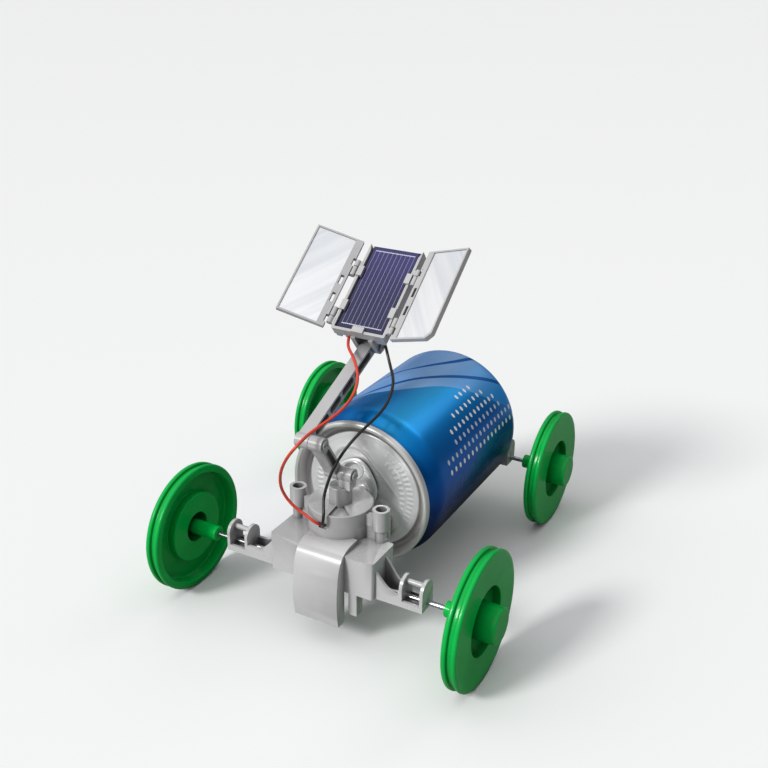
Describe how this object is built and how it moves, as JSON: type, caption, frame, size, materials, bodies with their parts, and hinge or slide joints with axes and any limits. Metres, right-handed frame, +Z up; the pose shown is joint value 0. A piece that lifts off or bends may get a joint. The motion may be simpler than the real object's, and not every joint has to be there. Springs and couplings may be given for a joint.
{
  "type": "solar rover kit",
  "caption": "Toy solar car: a drinks can on two axles with green wheels, a motor unit in front and a jointed arm holding a solar panel between two folding reflectors.",
  "frame": {"origin": "on the ground, midway between the two axles and in the middle of the car's whole width, which is 5.75 mm to the right of the can's centre plane because the rear rod has slid 15 mm to the left in its bracket", "axes": "-Y towards the front of the car (motor unit end), +X to the right for someone looking at its front, +Z up"},
  "size_m": [0.1606, 0.179, 0.1443],
  "materials": {
    "grey_abs": "semi-gloss moulded ABS",
    "green_abs": "glossy moulded polystyrene",
    "steel_rod": "drawn steel rod",
    "can_paint": "glossy printed aluminium",
    "can_alu": "bare rolled aluminium",
    "foam": "closed-cell double-sided foam",
    "motor_steel": "drawn steel can",
    "motor_plastic": "nylon",
    "gear_nylon": "natural acetal",
    "brass_worm": "turned brass",
    "board": "laminate board",
    "cell": "silicon cell under clear resin",
    "silvered": "silvered plastic sheet",
    "wire_red": "PVC insulation",
    "wire_black": "PVC insulation",
    "screw_steel": "zinc-plated steel"
  },
  "bodies": {
    "chassis": {"front_chassis": "grey_abs", "gear_cover": "grey_abs", "motor_cap": "grey_abs", "cap_screws": "screw_steel", "motor_case": "motor_steel", "motor_end": "motor_plastic", "front_pad": "foam", "can_body": "can_paint", "can_lid": "can_alu", "can_tab": "can_alu", "rear_pad": "foam", "rear_bracket": "grey_abs", "red_wire": "wire_red", "black_wire": "wire_black"},
    "front_wheels": {"front_axle": "steel_rod", "drive_gear": "gear_nylon", "wheel_front_left": "green_abs", "wheel_front_right": "green_abs"},
    "rotor": {"motor_shaft": "steel_rod", "drive_worm": "brass_worm"},
    "rear_wheels": {"rear_axle": "steel_rod", "wheel_rear_left": "green_abs", "wheel_rear_right": "green_abs"},
    "swivel": {"swivel_post": "grey_abs"},
    "link": {"lower_link": "grey_abs", "link_pin": "grey_abs", "elbow_pin": "grey_abs"},
    "mast_arm": {"mast": "grey_abs", "tilt_pin": "grey_abs"},
    "tray": {"panel_tray": "grey_abs", "solar_backing": "board", "solar_cell": "cell"},
    "reflector_left": {"reflector_frame_left": "grey_abs", "mirror_left": "silvered"},
    "reflector_right": {"reflector_frame_right": "grey_abs", "mirror_right": "silvered"}
  },
  "joints": [
    {"name": "front_spin", "type": "hinge", "parent": "chassis", "child": "front_wheels", "pos_m": [0.00575, -0.0625, 0.027], "axis": [1, 0, 0], "continuous": true},
    {"name": "rotor_spin", "type": "hinge", "parent": "chassis", "child": "rotor", "pos_m": [0.00575, -0.051, 0.029], "axis": [0, 0, 1], "continuous": true},
    {"name": "rear_spin", "type": "hinge", "parent": "chassis", "child": "rear_wheels", "pos_m": [0.00575, 0.0625, 0.027], "axis": [1, 0, 0], "continuous": true},
    {"name": "swivel_turn", "type": "hinge", "parent": "chassis", "child": "swivel", "pos_m": [0.00575, -0.051, 0.057], "axis": [0, 0, 1], "range_deg": [-90, 90], "deforming": ["red_wire", "black_wire"]},
    {"name": "link_lift", "type": "hinge", "parent": "swivel", "child": "link", "pos_m": [0.00575, -0.051, 0.0645], "axis": [1, 0, 0], "range_deg": [-10, 30], "deforming": ["red_wire", "black_wire"]},
    {"name": "elbow_lift", "type": "hinge", "parent": "link", "child": "mast_arm", "pos_m": [-0.00025, -0.0623, 0.081], "axis": [1, 0, 0], "range_deg": [-5, 60], "deforming": ["red_wire", "black_wire"]},
    {"name": "panel_tilt", "type": "hinge", "parent": "mast_arm", "child": "tray", "pos_m": [-0.00325, -0.01243, 0.103], "axis": [1, 0, 0], "range_deg": [-30, 18], "deforming": ["red_wire", "black_wire"]},
    {"name": "reflector_left_fold", "type": "hinge", "parent": "tray", "child": "reflector_left", "pos_m": [-0.01825, -0.01986, 0.11217], "axis": [0, 0.7771, 0.6293], "range_deg": [-21, 54]},
    {"name": "reflector_right_fold", "type": "hinge", "parent": "tray", "child": "reflector_right", "pos_m": [0.00975, -0.01986, 0.11217], "axis": [0, 0.7771, 0.6293], "range_deg": [-54, 21]}
  ],
  "couplings": [
    {"joint": "rotor_spin", "follows": "front_spin", "ratio": -30}
  ]
}
